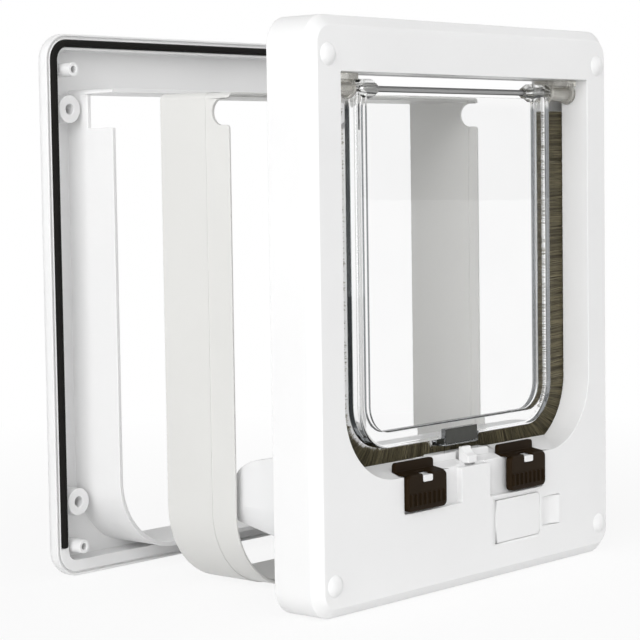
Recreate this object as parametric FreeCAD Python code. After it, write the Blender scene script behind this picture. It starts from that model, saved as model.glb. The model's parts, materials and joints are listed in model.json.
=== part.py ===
import FreeCAD, Part
import math
import os

# A four-way electromagnetic cat flap, apart as it is fitted: the inner frame with its clear flap,
# the tunnel sleeve that lines the door, and the outer frame with its foam seal.
# Millimetres. X is across the door, Y runs from the room (minus) to the garden (plus), Z is up.
# The pieces are worked out with Y = 0 on the back of the inner frame, and are then moved so that
# the origin lies on the floor under the middle of the whole.

os.makedirs("parts", exist_ok=True)

# Both frames
frame_width = 211.0
frame_height = 244.0
frame_corner = 12.0
frame_side = 19.6            # depth of the inner frame's straight side wall
frame_bevel = 4.5            # how far its front edge steps in
frame_bevel_depth = 3.9
frame_wall = 2.5
bevel_thickening = 2.4       # how much thicker the wall is behind the bevel

# Clearances
running_gap = 0.3
pin_gap = 0.05
seat_gap = 0.2
flap_gap = 0.6
over = 1.0                   # how far a cut runs past the face that it opens
root = 0.5                   # how far an added piece is sunk into what carries it

# Flap opening of the inner frame
side_rail = 18.5
top_rail = 22.6
sill_height = 53.0
opening_corner = 32.0
opening_top_corner = 0.5
reveal_depth = 14.3
reveal_wall = 2.4
ramp_rise = 4.4              # how far the sill rises towards the brush

# Hinge and flap
hinge_depth = 11.5           # from the face back to the rod
hinge_drop = 6.1             # from the top of the opening down to the rod
hinge_rod_radius = 1.3
flap_side_room = 18.5
flap_sill_room = 11.6
flap_corner = 19.0
flap_thickness = 7.0
flap_rim = 7.0
flap_web = 2.0
flap_rim_round = 1.2
flap_top_gap = 1.2           # from the rod down to the clear web
eye_length = 12.5
eye_radius = 4.0
eye_cone = 4.0
eye_tip_radius = 2.2
magnet_width = 22.0
magnet_height = 6.2
magnet_depth = 5.0
pocket_wall = 1.0
pocket_drop = 3.3            # how far the magnet's pocket hangs below the rim

# Hinge sockets
socket_plate = 2.6
socket_depth = 11.0
socket_web = 4.4
socket_web_length = 11.0
socket_waist_radius = 3.4
socket_collar_radius = 4.4
socket_collar_length = 1.6
socket_plug_radius = 4.6
socket_wall = 1.6

# Draught brush
brush_thickness = 3.0
brush_drop = 13.9            # from the top of the opening down to the brush
pile_gap = 0.7
pile_grip = 1.6              # how far the pile runs into its channel
channel_height = 4.2
channel_lip = 0.7

# Lock sliders
slider_center = 36.3
slider_width = 26.5
slider_height = 15.6
slider_rise = 0.6            # from the sill up to the plate's top
slider_plate = 3.0
slider_proud = 1.9
slider_corner = 2.5
slider_round = 0.8
ledge_rise = 1.3             # from the plate's top up to the back of the ledge
ledge_thickness = 1.7
slider_blade = 2.0
blade_clear = 6.3            # from the blade up to the flap
blade_corner = 1.5
blade_tail = 19.1            # from the plate's top down to the blade's foot
prong_clear = 0.9            # from the prong behind the flap up to the flap
prong_width = 18.0
prong_foot = 2.2
grip_count = 8
grip_pitch = 3.2
grip_height = 5.2
grip_depth = 0.7
grip_width = 1.1
grip_foot = 2.3
peg_width = 6.2
peg_height = 2.8
peg_depth = 4.6
peg_drop = 0.8
peg_proud = 0.3

# Shallow pockets round the sliders, and the pad between them
pocket_depth = 2.9
pocket_floor = 2.0
pocket_foot = 0.8            # from the slider down to the pocket's edge
pocket_corner = 1.0
pad_width = 20.4
pad_drop = 0.5               # from the sill down to the pad's top

# Latch with its guide
latch_width = 6.4
latch_setback = 1.9          # from the face back to the latch's front
latch_depth = 5.4
latch_rise = 7.4             # from the sill up to the tip
latch_travel = 3.0
latch_tip = 1.8
latch_curve = 4.0            # from the tip down to where the front runs straight
latch_bow = 0.6
latch_shoulder_gap = 0.8
stem_depth = 3.0
foot_width = 12.0
foot_height = 3.0
guide_width = 40.4
guide_rise = 5.2
guide_height = 10.5
guide_setback = 1.0          # from the latch's back to the guide
guide_slot = 2.0
guide_depth = 5.6
guide_corner = 1.6

# Electromagnet under the latch
coil_radius = 7.5
coil_low = 12.0
coil_length = 18.0
coil_winding_step = 0.8
bobbin_flange = 1.4
plunger_radius = 3.0
plunger_back = 6.9           # from the middle of the latch back to the plunger
bore_floor = 2.0
plunger_stop = 2.0
yoke_wall = 1.6
yoke_width = 11.0
yoke_foot = 10.0
spring_wire = 1.0
spring_radius = 4.2
spring_turns = 5
spring_sides = 8

# Battery, its door and its well
battery_width = 26.5
battery_height = 17.5
battery_length = 46.0
battery_corner = 2.0
battery_behind = 1.6         # from the door back to the battery
terminal_length = 2.5
terminal_radius = 2.9
terminal_pitch = 12.7
snap_thickness = 2.4
snap_margin = 1.0
snap_height_margin = 3.0
well_wall = 1.6
door_left = 13.3
door_side_room = 3.75        # from the battery out to the door's edge
door_room = 1.05
door_below_pocket = 2.1
door_gap = 0.35
door_thickness = 2.2
door_corner = 2.4
door_pin_radius = 0.7
door_pin_length = 1.2

# Spring catch beside the battery door
catch_space = 2.3
catch_width = 14.3
catch_height = 13.6
catch_recess = 2.0
catch_wall = 1.8
catch_gap = 0.3
catch_strip = 1.8            # the wider gap on its left
catch_edge = 2.4
catch_proud = 0.6            # how far its crest stands out of the frame's face
catch_dent_radius = 21.5
catch_dent_depth = 1.6
catch_dent_shift = 2.5       # from the recess's left side to the deepest line

# Back cover with its collar
cover_plate = 2.2
collar_inset = 3.0           # from the opening's side in to the collar
collar_drop = 2.0
collar_bottom = 9.5
collar_corner = 33.8
collar_wall = 2.0
collar_length = 5.0
passage_rise = 7.4           # from the sill up to the passage through the cover
window_side = 6.0            # what is left of the collar's top wall at each side

# Rounded sensor housing behind the sill
nose_depth = 52.0
nose_wall = 2.2
nose_plan_corner = 13.0
nose_crown = 1.85            # how far its top bows up
nose_shoulder_y = 28.0
nose_shoulder_drop = 0.3
nose_tip_drop = 18.8
nose_tip_bulge = 4.5
nose_chin_y = 42.0
nose_chin_drop = 29.3
nose_chin_bulge = 2.3
nose_low = 19.0
nose_flange = 1.4
nose_foot = 5.4
nose_screw_x = 50.0

# Circuit board and sensor
board_edge_room = 7.2
board_width = 60.0
board_height = 24.0
board_low = 24.0
board_y = 5.0
board_thickness = 1.6
board_post_radius = 2.4
board_screw_inset = 4.0
chip_width = 9.0
chip_height = 8.0
chip_thickness = 1.6
reed_radius = 1.2
reed_length = 16.0
reed_inset = 6.0

# Fixings
fixing_inset = 10.8          # from the frame's side in to the long screws
fixing_low = 14.0
fixing_drop = 16.0           # from the frame's top down to the upper screws
fixing_bore = 2.3
fixing_tube = 1.9
cap_radius = 4.6
cap_height = 1.9
cap_stem_radius = 2.6
cap_stem_length = 3.0
cover_screw_low = 60.0
cover_screw_drop = 60.0
cover_screw_radius = 1.4
cover_screw_head = 2.7
cover_screw_length = 9.0
cover_post_wall = 2.0
nose_screw_length = 6.0
board_screw_radius = 1.0
board_screw_head = 1.9
board_screw_length = 5.0
screw_head_height = 1.4
screw_slot = 0.7

# Tunnel sleeve
tunnel_front = 39.8
tunnel_length = 40.8
tunnel_wall = 2.2
tunnel_rise_gap = 0.65       # over and under the collar, when fitted
tunnel_top_corner = 3.0
tunnel_inner_corner = 1.0
band_step = 0.35             # how much the front band is thinned outside
band_length = 13.5
rebate_depth = 0.7           # thinned inside, where the collar goes in
rebate_length = 5.0
notch_radius = 5.5
notch_depth = 10.0
notch_drop = 8.6
notch_mouth_round = 1.6

# Outer frame
outer_front = 132.4          # where its door side stands
outer_side = 5.2
outer_bevel = 8.4
outer_bevel_depth = 8.2
outer_web = 2.8
outer_lip = 1.2
groove_inset = 1.0
groove_width = 0.9
groove_depth = 1.2
stub_reach = 18.9            # how far the stub stands out of the rim
stub_notch_height = 15.4
stub_notch_depth = 15.9
boss_inset = 13.5
boss_low = 33.5
boss_drop = 33.4
boss_radius = 6.2
boss_bore = 2.4
post_radius = 3.1
post_bore = 1.5
post_reach = 6.1

# Foam seal
seal_inset = 2.55
seal_width = 3.3
seal_proud = 1.8
seal_depth = 1.4
seal_low = 13.3

# Depths worked out from the sizes above
half_width = frame_width / 2
face_y = -(frame_side + frame_bevel_depth)
inner_face = face_y + frame_wall
reveal_end = face_y + reveal_depth
hinge_y = face_y + hinge_depth
flap_front = hinge_y - flap_thickness / 2
flap_back = hinge_y + flap_thickness / 2
brush_y = reveal_end + running_gap
slider_front = face_y - slider_proud
blade_back = flap_front - flap_gap
blade_front = blade_back - slider_blade
ledge_front = slider_front + slider_plate / 2
latch_front = face_y + latch_setback
latch_back = latch_front + latch_depth
guide_front = latch_back + guide_setback
guide_back = guide_front + guide_depth
plunger_y = (latch_front + latch_back) / 2 + plunger_back
outer_back = outer_front + outer_side + outer_bevel_depth
outer_recess = outer_back - outer_web
whole_middle = (slider_front - grip_depth + outer_back) / 2

# Widths and heights worked out from the sizes above
opening_half = half_width - side_rail
opening_top = frame_height - top_rail
hinge_z = opening_top - hinge_drop
flap_half = opening_half - flap_side_room
flap_bottom = sill_height + flap_sill_room
pocket_bottom = flap_bottom - pocket_drop
slider_top = sill_height + slider_rise
slider_bottom = slider_top - slider_height
blade_bottom = slider_top - blade_tail
blade_top = flap_bottom - blade_clear
ledge_low = slider_top + ledge_rise - ledge_thickness
pocket_low = slider_bottom - pocket_foot
pad_half = pad_width / 2
pad_top = sill_height - pad_drop
guide_half = guide_width / 2
guide_top = sill_height + guide_rise
guide_low = guide_top - guide_height
foot_top = guide_low - latch_travel - running_gap
plunger_top = foot_top - foot_height
coil_high = coil_low + coil_length
door_high = pocket_low - door_below_pocket
door_low = door_high - battery_height - 2 * door_room
door_right = door_left + battery_width + 2 * door_side_room
door_middle = (door_low + door_high) / 2
door_pin_x = door_left + door_gap + door_thickness / 2
door_pin_y = face_y + door_thickness / 2
battery_left = door_left + door_side_room
battery_low = door_middle - battery_height / 2
battery_front = face_y + door_thickness + battery_behind
snap_front = battery_front + battery_length + running_gap
well_end = snap_front + terminal_length + snap_thickness + seat_gap
catch_left = door_right + catch_space
catch_right = catch_left + catch_width
catch_low = door_middle - catch_height / 2
catch_high = door_middle + catch_height / 2
collar_half = opening_half - collar_inset
collar_top = opening_top - collar_drop
passage_bottom = sill_height + passage_rise
window_half = collar_half - collar_wall - window_side
nose_half = collar_half - collar_wall - 2 * running_gap
nose_top = passage_bottom - running_gap / 3
board_left = -(nose_half - nose_wall) + board_edge_room
board_middle = board_low + board_height / 2
board_back = board_y + board_thickness
fixing_x = half_width - fixing_inset
fixing_high = frame_height - fixing_drop
cover_screw_x = (opening_half + reveal_wall + half_width - frame_wall) / 2
cover_screw_high = frame_height - cover_screw_drop
tunnel_half = collar_half + running_gap + tunnel_wall
tunnel_height = collar_top - collar_bottom + 2 * (tunnel_rise_gap + tunnel_wall)
tunnel_corner = collar_corner + tunnel_wall
tunnel_back = tunnel_front + tunnel_length
notch_z = tunnel_height - notch_drop
boss_x = half_width - boss_inset
boss_high = frame_height - boss_drop


def save(shape, name):
    """Write one piece, moved so that the origin is under the middle of the whole."""
    moved = shape.copy()
    moved.translate(FreeCAD.Vector(0, -whole_middle, 0))
    moved.exportStep("parts/" + name + ".step")
    print(name, len(moved.Solids), round(moved.Volume, 1), moved.isValid())


def vec(x, y, z):
    return FreeCAD.Vector(x, y, z)


def box(x0, x1, y0, y1, z0, z1):
    return Part.makeBox(x1 - x0, y1 - y0, z1 - z0, vec(x0, y0, z0))


def rod_x(y, z, radius, x0, x1):
    return Part.makeCylinder(radius, x1 - x0, vec(x0, y, z), vec(1, 0, 0))


def rod_y(x, z, radius, y0, y1):
    return Part.makeCylinder(radius, y1 - y0, vec(x, y0, z), vec(0, 1, 0))


def rod_z(x, y, radius, z0, z1):
    return Part.makeCylinder(radius, z1 - z0, vec(x, y, z0), vec(0, 0, 1))


def bulged(start, end, bulge, axis):
    """An arc from start to end that stands off its chord by the bulge, turned about the axis."""
    chord = end - start
    side = axis.cross(chord).normalize()
    return Part.Arc(start, (start + end) * 0.5 + side * bulge, end)


def outline(x0, x1, z0, z1, low, high, y):
    """A rectangle in the plane of the door, with one corner radius below and one above."""
    shapes = []
    corners = [(x1 - low, z0 + low, low, -90), (x1 - high, z1 - high, high, 0),
               (x0 + high, z1 - high, high, 90), (x0 + low, z0 + low, low, 180)]
    arcs = []
    for x, z, radius, turn in corners:
        points = []
        for angle in (turn, turn + 45, turn + 90):
            a = math.radians(angle)
            points.append(vec(x + radius * math.cos(a), y, z + radius * math.sin(a)))
        arcs.append(points)
    for index, points in enumerate(arcs):
        shapes.append(Part.Arc(*points).toShape())
        after = arcs[(index + 1) % len(arcs)][0]
        shapes.append(Part.LineSegment(points[-1], after).toShape())
    return Part.Wire(shapes)


def slab(x0, x1, z0, z1, low, high, y0, y1):
    """A rounded rectangle in the plane of the door, drawn out from y0 to y1."""
    return Part.Face(outline(x0, x1, z0, z1, low, high, y0)).extrude(vec(0, y1 - y0, 0))


def half_round(x0, x1, z0, z1, corner, y0, y1):
    """A slab that is square along its left edge and rounded at its right corners."""
    plate = slab(x0, x1, z0, z1, corner, corner, y0, y1)
    return plate.fuse(box(x0, x0 + 2 * corner, y0, y1, z0, z1))


def sloped_edge(inset, corner, y0, y1, margin=0.0):
    """The part of a frame between its inset outline at y0 and its outline less a margin at y1."""
    front = outline(-half_width + inset, half_width - inset, inset, frame_height - inset,
                    corner, corner, y0)
    back = outline(-half_width + margin, half_width - margin, margin, frame_height - margin,
                   frame_corner - margin, frame_corner - margin, y1)
    return Part.makeLoft([front, back], True)


def mirror_x(shape):
    return shape.mirror(vec(0, 0, 0), vec(1, 0, 0))


def both_sides(shape):
    return [shape, mirror_x(shape)]


def fixing_places():
    return [(side * fixing_x, z) for z in (fixing_low, fixing_high) for side in (-1, 1)]


def cover_screw_places():
    return [(side * cover_screw_x, z) for z in (cover_screw_low, cover_screw_high)
            for side in (-1, 1)]


def nose_screw_places():
    return [(side * nose_screw_x, nose_low - nose_foot / 2) for side in (-1, 1)]


def board_screw_places():
    return [(board_left + board_screw_inset, board_middle),
            (board_left + board_width - board_screw_inset, board_middle)]


def boss_places():
    return [(side * boss_x, z) for z in (boss_low, boss_high) for side in (-1, 1)]


def front_shell():
    """The inner frame's skin: straight side walls and a sloped front edge, open behind."""
    skin = slab(-half_width, half_width, 0, frame_height, frame_corner, frame_corner,
                -frame_side, 0)
    skin = skin.fuse(sloped_edge(frame_bevel, frame_corner - frame_bevel, face_y, -frame_side))
    corner = frame_corner - frame_wall
    turn_y = -frame_side + frame_wall / 2
    hollow = slab(-half_width + frame_wall, half_width - frame_wall, frame_wall,
                  frame_height - frame_wall, corner, corner, turn_y, over)
    inset = frame_wall + bevel_thickening
    hollow = hollow.fuse(sloped_edge(inset, frame_corner - inset, inner_face, turn_y, frame_wall))
    return skin.cut(hollow)


def slider_pocket():
    """The shallow place for the left thumb plate, open towards the flap opening."""
    left = -slider_center - slider_width / 2 - running_gap
    return slab(left, -pad_half, pocket_low, sill_height + reveal_wall, pocket_corner,
                pocket_corner, face_y - over, face_y + pocket_depth)


def slider_pocket_floor():
    """What stands behind the left pocket, in the hollow of the frame."""
    left = -slider_center - slider_width / 2 - running_gap - pocket_floor
    return box(left, -pad_half + pocket_floor, inner_face, face_y + pocket_depth + pocket_floor,
               pocket_low - pocket_floor, sill_height)


def opening_cut(y0, y1):
    return slab(-opening_half, opening_half, sill_height, opening_top, opening_corner,
                opening_top_corner, y0, y1)


def sill_ramp():
    """The sill rises from behind the face up to the brush, between the opening's corners."""
    corners = [vec(-opening_half, inner_face, sill_height - root),
               vec(-opening_half, inner_face, sill_height),
               vec(-opening_half, reveal_end, sill_height + ramp_rise),
               vec(-opening_half, reveal_end, sill_height - root)]
    profile = Part.Face(Part.makePolygon(corners + corners[:1]))
    ramp = profile.extrude(vec(2 * opening_half, 0, 0))
    return ramp.common(slab(-opening_half - root, opening_half + root, sill_height - root,
                            opening_top, opening_corner + root, opening_top_corner,
                            inner_face, reveal_end))


def blade_slot():
    """The slot in the sill and the pocket's floor that the left slider's blade runs in, with
    room in the ramp for the ledge."""
    half = slider_width / 2 + running_gap
    left = -slider_center - half
    right = -slider_center + half
    high = sill_height + ramp_rise + over
    slot = box(left, right, blade_front - running_gap, blade_back + running_gap,
               pocket_low - pocket_floor - over, high)
    return slot.fuse(box(left, right, face_y - over, blade_back + running_gap, sill_height, high))


def guide_well():
    """The places in the sill for the latch and for its guide, behind the pad."""
    half = guide_half + running_gap
    high = sill_height + ramp_rise + over
    well = box(-half, half, guide_front - running_gap, guide_back + running_gap,
               guide_low - over, high)
    half = latch_width / 2 + running_gap
    return well.fuse(box(-half, half, inner_face, guide_front, guide_low - over, high))


def door_outline(x0, inset, y0, y1):
    """The battery door's outline, square at its hinge and round at its free end."""
    return half_round(x0, door_right - inset, door_low + inset, door_high - inset,
                      door_corner - inset, y0, y1)


def catch_place(inset, y0, y1):
    return half_round(catch_left + inset, catch_right - inset, catch_low + inset,
                      catch_high - inset, catch_edge, y0, y1)


def catch_tab():
    """The spring catch: a block in the recess, hollowed for a fingertip up to a raised crest."""
    tab = half_round(catch_left + catch_strip, catch_right - catch_gap, catch_low + catch_gap,
                     catch_high - catch_gap, catch_edge, face_y - catch_proud,
                     face_y + catch_recess + root)
    return tab.cut(rod_z(catch_left + catch_dent_shift,
                         face_y + catch_dent_depth - catch_dent_radius, catch_dent_radius,
                         catch_low, catch_high))


def front_frame():
    frame = front_shell()
    frame = frame.fuse(slab(-opening_half - reveal_wall, opening_half + reveal_wall,
                            sill_height - reveal_wall, opening_top + reveal_wall,
                            opening_corner + reveal_wall, opening_top_corner + reveal_wall,
                            inner_face - root, reveal_end))
    for floor in both_sides(slider_pocket_floor()):
        frame = frame.fuse(floor)

    # Tubes for the long screws, and posts for the screws of the back cover
    post_end = -cover_plate - seat_gap
    for x, z in fixing_places():
        frame = frame.fuse(rod_y(x, z, fixing_bore + fixing_tube, inner_face - root, post_end))
    for x, z in cover_screw_places():
        frame = frame.fuse(rod_y(x, z, cover_screw_radius + cover_post_wall, inner_face - root,
                                 post_end))

    # The opening, the places of the sliders and the latch
    frame = frame.cut(opening_cut(face_y - over, over)).fuse(sill_ramp())
    for cut in both_sides(slider_pocket()) + both_sides(blade_slot()):
        frame = frame.cut(cut)
    frame = frame.cut(guide_well())
    frame = frame.cut(box(-pad_half, pad_half, face_y - over, inner_face + over, pad_top,
                          sill_height + over))

    # The battery door's opening with the holes for its pins, and the catch beside it
    frame = frame.cut(door_outline(door_left, 0, face_y - over, inner_face + over))
    reach = door_pin_length + seat_gap
    frame = frame.cut(rod_z(door_pin_x, door_pin_y, door_pin_radius + pin_gap,
                            door_low - reach, door_high + reach))
    frame = frame.fuse(catch_place(-catch_wall, inner_face - root,
                                   face_y + catch_recess + catch_wall))
    frame = frame.cut(catch_place(0, face_y - over, face_y + catch_recess))
    frame = frame.fuse(catch_tab())

    # Screw holes, and the seats of the hinge sockets
    for x, z in fixing_places():
        frame = frame.cut(rod_y(x, z, fixing_bore, face_y - over, over))
        frame = frame.cut(rod_y(x, z, cap_stem_radius + seat_gap, face_y - over,
                                face_y + cap_stem_length + seat_gap))
    for x, z in cover_screw_places():
        frame = frame.cut(rod_y(x, z, cover_screw_radius, post_end - cover_screw_length, over))
    seat = rod_x(hinge_y, hinge_z, socket_plug_radius + seat_gap,
                 -opening_half - reveal_wall - over, -opening_half + over)
    for hole in both_sides(seat):
        frame = frame.cut(hole)
    return frame.removeSplitter()


def hinge_socket():
    """Left socket: a plate under the top of the opening with a web that carries the bored hub,
    and a plug in the side wall."""
    wall_x = -opening_half
    inner = -(flap_half + flap_gap)
    plate_top = opening_top - seat_gap
    plate_low = plate_top - socket_plate
    front = hinge_y - socket_depth / 2
    socket = box(wall_x + seat_gap, inner, front, front + socket_depth, plate_low, plate_top)
    web = box(inner - socket_web_length, inner, hinge_y - socket_web / 2,
              hinge_y + socket_web / 2, hinge_z, plate_low + root)
    waist = rod_x(hinge_y, hinge_z, socket_waist_radius, wall_x, inner)
    collars = [rod_x(hinge_y, hinge_z, socket_collar_radius, x, x + socket_collar_length)
               for x in (wall_x + seat_gap, inner - socket_collar_length)]
    plug = rod_x(hinge_y, hinge_z, socket_plug_radius, wall_x - reveal_wall, wall_x + root)
    socket = socket.fuse([web, waist, plug] + collars)
    bore_end = wall_x - reveal_wall + socket_wall
    socket = socket.cut(rod_x(hinge_y, hinge_z, hinge_rod_radius + pin_gap, bore_end,
                              inner + over))
    return socket.removeSplitter()


def hinge_rod():
    reach = opening_half + reveal_wall - socket_wall - seat_gap
    return rod_x(hinge_y, hinge_z, hinge_rod_radius, -reach, reach)


def flap_eye():
    """Left eye: a round boss on top of the side rim, tapered towards the bare rod."""
    inner = -(flap_half - eye_length)
    eye = rod_x(hinge_y, hinge_z, eye_radius, -flap_half, inner)
    cone = Part.makeCone(eye_radius, eye_tip_radius, eye_cone, vec(inner, hinge_y, hinge_z),
                         vec(1, 0, 0))
    return eye.fuse(cone)


def flap_panel():
    """One clear moulding: a thin web with a raised rim, hinge eyes and a magnet pocket."""
    panel = slab(-flap_half, flap_half, flap_bottom, hinge_z, flap_corner, opening_top_corner,
                 flap_front, flap_back)
    rim_edges = [edge for edge in panel.Edges
                 if edge.BoundBox.YLength < pin_gap and edge.BoundBox.ZMin < hinge_z - eye_radius]
    panel = panel.makeFillet(flap_rim_round, rim_edges)
    inner_half = flap_half - flap_rim
    inner_corner = flap_corner - flap_rim
    for y0, y1 in ((flap_front - over, hinge_y - flap_web / 2),
                   (hinge_y + flap_web / 2, flap_back + over)):
        panel = panel.cut(slab(-inner_half, inner_half, flap_bottom + flap_rim,
                               hinge_z + inner_corner, inner_corner, inner_corner, y0, y1))

    # The top edge lies under the bare rod, between the eyes
    web_top = hinge_z - hinge_rod_radius - flap_top_gap
    clear_half = flap_half - eye_length
    panel = panel.cut(box(-clear_half, clear_half, flap_front - over, flap_back + over,
                          web_top, hinge_z + over))
    for eye in both_sides(flap_eye()):
        panel = panel.fuse(eye)

    pocket_half = magnet_width / 2 + pocket_wall
    panel = panel.fuse(box(-pocket_half, pocket_half, flap_front, flap_back, pocket_bottom,
                           pocket_bottom + magnet_height + 2 * pocket_wall))
    panel = panel.cut(magnet(seat_gap, over))
    panel = panel.cut(rod_x(hinge_y, hinge_z, hinge_rod_radius + pin_gap / 2,
                            -flap_half - over, flap_half + over))
    return panel.removeSplitter()


def magnet(gap, reach):
    """The flap's magnet, or with a gap and a reach the pocket it is pushed into from the front."""
    half = magnet_width / 2 + gap
    low = pocket_bottom + pocket_wall
    return box(-half, half, flap_front - reach, flap_front + magnet_depth + gap, low - gap,
               low + magnet_height + gap)


def brush_zone(half, low, corner, y0, y1):
    """The space inside a U that follows the opening, up past the brush's top."""
    return slab(-half, half, low, frame_height, corner, opening_top_corner, y0, y1)


def opening_zone(grow, y0, y1):
    return brush_zone(opening_half + grow, sill_height - grow, opening_corner + grow, y0, y1)


def brush_pile():
    """Dense pile as one U-shaped solid, from inside its channel to just short of the flap."""
    back = brush_y + brush_thickness
    pile = opening_zone(pile_grip, brush_y, back)
    pile = pile.cut(brush_zone(flap_half + pile_gap, flap_bottom - pile_gap,
                               flap_corner + pile_gap, brush_y - over, back + over))
    half = magnet_width / 2 + pocket_wall + pile_gap
    return pile.cut(box(-half, half, brush_y - over, back + over, pocket_bottom - pile_gap,
                        flap_bottom + over))


def brush_channel():
    """U-shaped channel round the opening that grips the root of the pile."""
    front = reveal_end + running_gap / 3
    pile_back = brush_y + brush_thickness
    back = pile_back + channel_lip
    channel = opening_zone(channel_height, front, back)
    channel = channel.cut(opening_zone(running_gap, front - over, back + over))
    return channel.cut(opening_zone(pile_grip, front - over, pile_back))


def left_arm(shape):
    """The left arm of the U with its corner, up to the brush's top."""
    corner_x = -(opening_half - opening_corner)
    return shape.common(box(-half_width, corner_x, face_y, over, 0, opening_top - brush_drop))


def lower_arm(shape):
    half = opening_half - opening_corner - running_gap
    return shape.common(box(-half, half, face_y, over, 0, sill_height + opening_corner))


def slider_plate_shape():
    """The left thumb plate with its rounded front edge."""
    half = slider_width / 2
    plate = slab(-slider_center - half, -slider_center + half, slider_bottom, slider_top,
                 slider_corner, slider_corner, slider_front, slider_front + slider_plate)
    front_edges = [edge for edge in plate.Edges if edge.BoundBox.YMax < slider_front + pin_gap]
    return plate.makeFillet(slider_round, front_edges)


def slider_ribs():
    """The upright grip ribs on the lower half of the left thumb plate."""
    first = -slider_center - grip_pitch * (grip_count - 1) / 2
    low = slider_bottom + grip_foot
    ribs = []
    for index in range(grip_count):
        x = first + index * grip_pitch
        ribs.append(box(x - grip_width / 2, x + grip_width / 2, slider_front - grip_depth,
                        slider_front + root, low, low + grip_height))
    return ribs


def slider_ledge():
    """What joins the left thumb plate to its blade: level below, and rising a little behind."""
    left = -slider_center - slider_width / 2 + running_gap
    corners = [vec(left, ledge_front, ledge_low), vec(left, ledge_front, slider_top),
               vec(left, blade_back, slider_top + ledge_rise),
               vec(left, blade_back, ledge_low)]
    profile = Part.Face(Part.makePolygon(corners + corners[:1]))
    return profile.extrude(vec(slider_width - 2 * running_gap, 0, 0))


def lock_slider(prong):
    """Left lock slider: a ribbed thumb plate, a ledge over the sill and a blade that goes down
    through the slot in the sill. The prong, where there is one, passes under the brush and
    stands up behind the flap."""
    half = slider_width / 2 - running_gap
    blade = slab(-slider_center - half, -slider_center + half, blade_bottom, blade_top,
                 slider_round, blade_corner, blade_front, blade_back)
    slider = slider_plate_shape().fuse([slider_ledge(), blade] + slider_ribs())
    if prong:
        left = -slider_center - prong_width / 2
        right = -slider_center + prong_width / 2
        back = -cover_plate - seat_gap - running_gap
        foot = box(left, right, blade_front, back, blade_bottom, blade_bottom + prong_foot)
        post = box(left, right, back - slider_blade, back, blade_bottom,
                   flap_bottom - prong_clear)
        slider = slider.fuse([foot, post])
    notch_low = slider_top - peg_drop - peg_height - seat_gap
    half = peg_width / 2 + seat_gap
    slider = slider.cut(box(-slider_center - half, -slider_center + half, slider_front - over,
                            slider_front + peg_depth + seat_gap, notch_low,
                            slider_top + ledge_rise + over))
    return slider.removeSplitter()


def slider_peg():
    """White peg in the notch at the top of the left thumb plate."""
    front = slider_front - peg_proud
    top = slider_top - peg_drop
    peg = slab(-slider_center - peg_width / 2, -slider_center + peg_width / 2, top - peg_height,
               top, slider_round, root, front, slider_front + peg_depth)
    return peg


def latch_tongue():
    """Upright catch with a flat back and a curved front, on a stem with a foot."""
    left = -latch_width / 2
    tip = sill_height + latch_rise
    shoulder = pad_top + latch_shoulder_gap
    stem_front = latch_back - stem_depth
    corners = [vec(left, latch_back, foot_top), vec(left, latch_back, tip),
               vec(left, latch_back - latch_tip, tip), vec(left, latch_front, tip - latch_curve),
               vec(left, latch_front, shoulder), vec(left, stem_front, shoulder),
               vec(left, stem_front, foot_top)]
    edges = []
    for index, start in enumerate(corners):
        end = corners[(index + 1) % len(corners)]
        if start.y == latch_back - latch_tip:
            edges.append(bulged(start, end, latch_bow, vec(1, 0, 0)))
        else:
            edges.append(Part.LineSegment(start, end))
    profile = Part.Face(Part.Wire([edge.toShape() for edge in edges]))
    tongue = profile.extrude(vec(latch_width, 0, 0))
    foot = box(-foot_width / 2, foot_width / 2, stem_front, plunger_y + plunger_radius,
               plunger_top, foot_top)
    return tongue.fuse(foot).removeSplitter()


def latch_guide():
    """White block behind the latch, with a groove for it between its two ears."""
    guide = slab(-guide_half, guide_half, guide_low, guide_top, root, guide_corner,
                 guide_front, guide_back)
    half = latch_width / 2 + running_gap
    return guide.cut(box(-half, half, guide_front - over, guide_front + guide_slot,
                         guide_low - over, guide_top + over))


def latch_plunger():
    return rod_z(0, plunger_y, plunger_radius, coil_low + bore_floor + plunger_stop, plunger_top)


def solenoid_coil():
    """Bobbin with its winding: two flanges and a wound drum round a blind bore."""
    coil = rod_z(0, plunger_y, coil_radius - coil_winding_step, coil_low, coil_high)
    for z in (coil_low, coil_high - bobbin_flange):
        coil = coil.fuse(rod_z(0, plunger_y, coil_radius, z, z + bobbin_flange))
    return coil.cut(rod_z(0, plunger_y, plunger_radius + running_gap, coil_low + bore_floor,
                          coil_high + over))


def solenoid_yoke():
    """Bent steel strap round the coil, standing on the floor of the frame."""
    inside = coil_radius + running_gap
    outside = inside + yoke_wall
    front = plunger_y - yoke_width / 2
    back = plunger_y + yoke_width / 2
    strap = box(-outside, outside, front, back, coil_low - yoke_wall, coil_high + yoke_wall)
    strap = strap.cut(box(-inside, inside, front - over, back + over, coil_low, coil_high))
    strap = strap.cut(rod_z(0, plunger_y, plunger_radius + running_gap, coil_high - over,
                            coil_high + yoke_wall + over))
    foot = box(-yoke_foot / 2, yoke_foot / 2, front, back, frame_wall + seat_gap,
               coil_low - yoke_wall)
    return strap.fuse(foot).removeSplitter()


def latch_spring():
    """Coil spring of square wire round the plunger, between the strap and the latch's foot."""
    low = coil_high + yoke_wall + spring_wire / 2 + seat_gap
    high = plunger_top - spring_wire / 2 - seat_gap
    steps = spring_turns * spring_sides
    points = []
    for step in range(steps + 1):
        turn = 2 * math.pi * step / spring_sides
        points.append(vec(spring_radius * math.cos(turn), plunger_y + spring_radius
                          * math.sin(turn), low + (high - low) * step / steps))
    half = spring_wire / 2
    across = (points[0] - vec(0, plunger_y, low)).normalize() * half
    along = vec(0, 0, half)
    section = Part.makePolygon([points[0] + across + along, points[0] - across + along,
                                points[0] - across - along, points[0] + across - along,
                                points[0] + across + along])
    return Part.makePolygon(points).makePipeShell([section], True, False, 1)


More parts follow.
